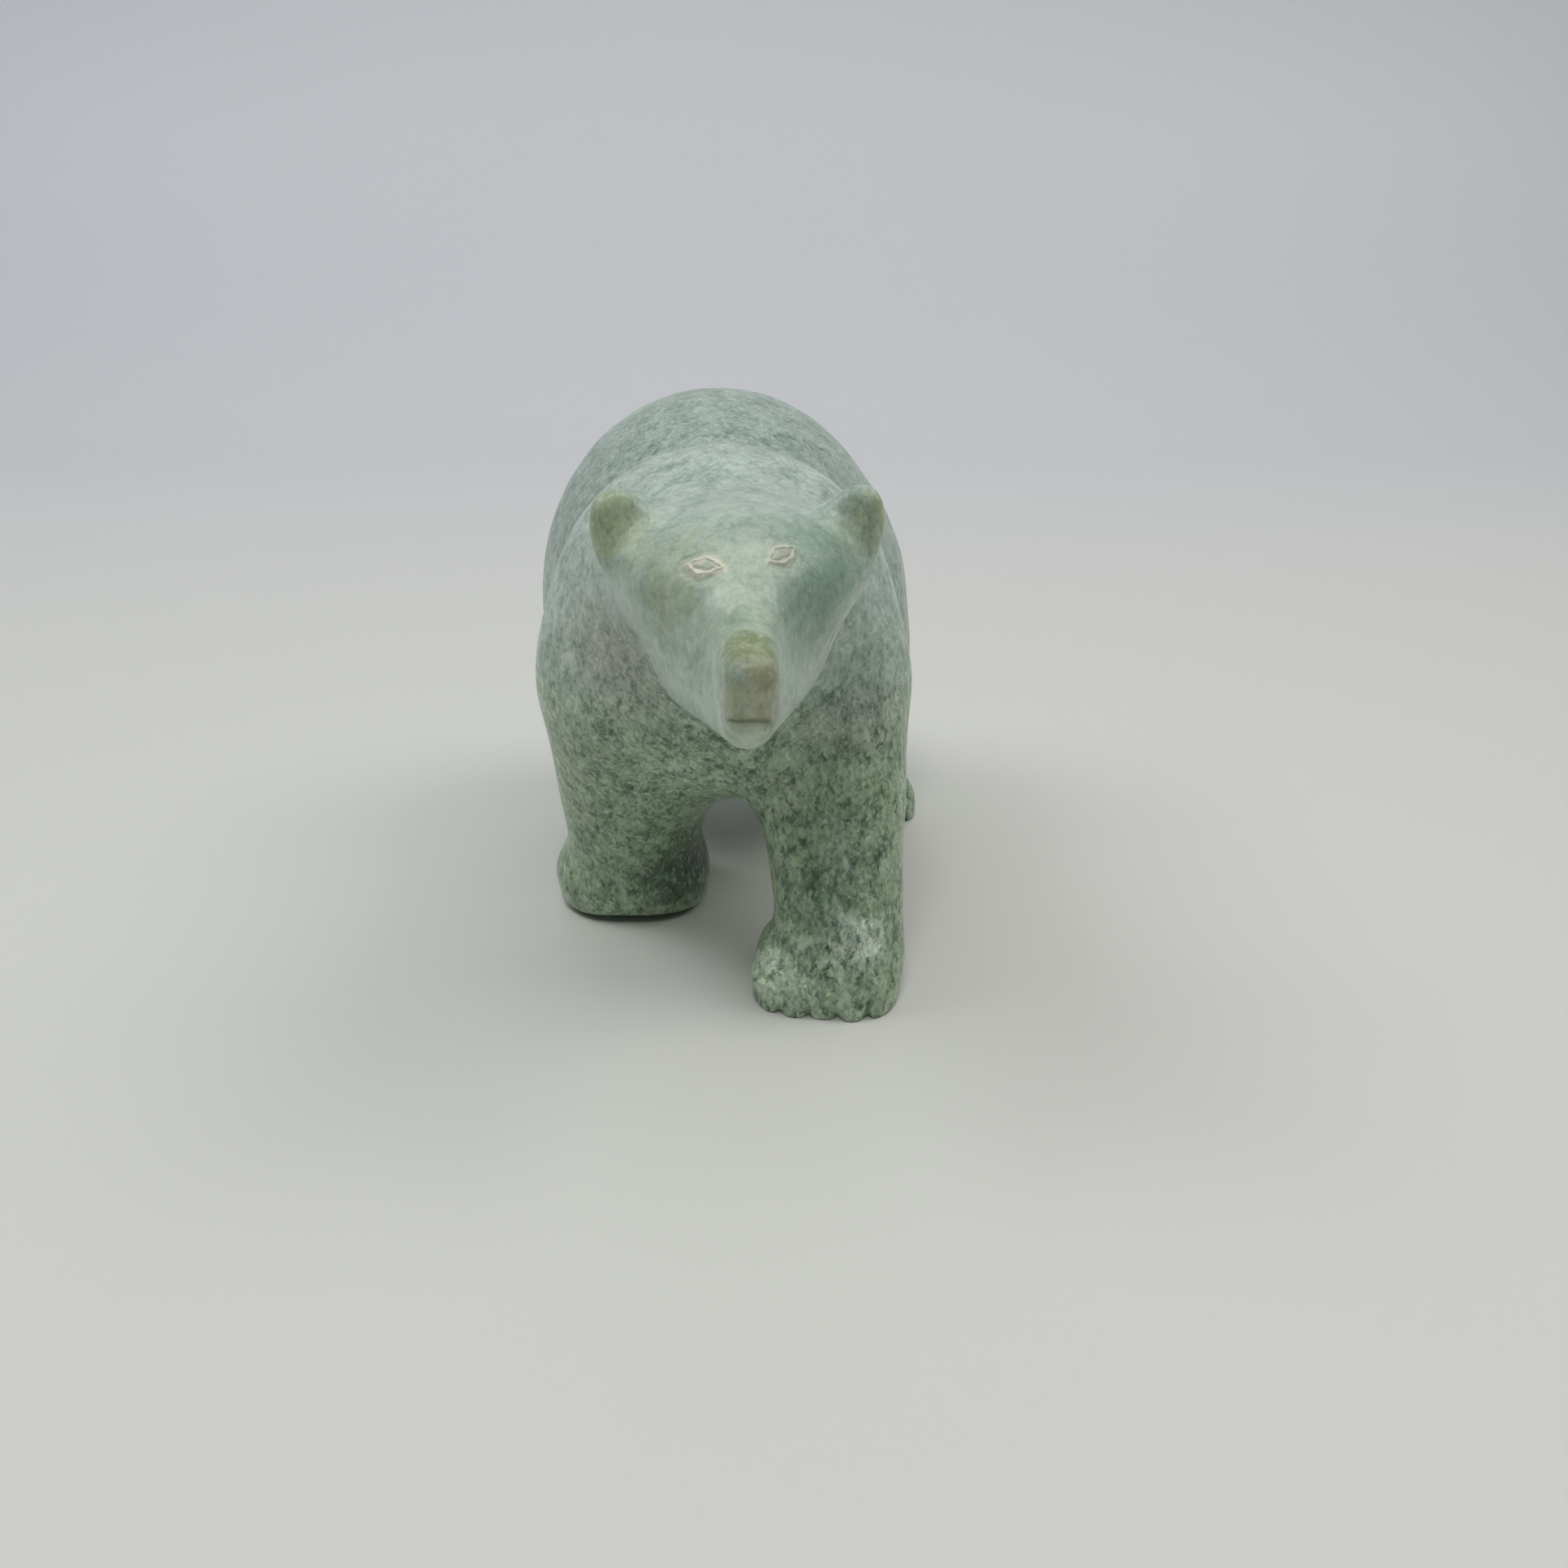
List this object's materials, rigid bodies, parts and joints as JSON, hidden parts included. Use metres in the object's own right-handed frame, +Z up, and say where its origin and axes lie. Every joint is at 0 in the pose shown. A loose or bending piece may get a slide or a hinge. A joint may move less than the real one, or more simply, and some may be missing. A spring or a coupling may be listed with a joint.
{
  "type": "bear carving",
  "caption": "Walking bear carved from one block of soapstone, a small ornament that stands on its four feet, with a wedge-shaped face, small round ears and notched toes.",
  "frame": {"origin": "centre of the bear's bounding box in plan, at the plane of its soles", "axes": "+Z up, the bear faces -Y, its left side is +X"},
  "size_m": [0.0766, 0.1614, 0.0904],
  "materials": {
    "soapstone": "polished pale grey-green soapstone with dark green clouds and fine white flecks"
  },
  "bodies": {
    "root": {"bear": "soapstone"}
  },
  "joints": []
}
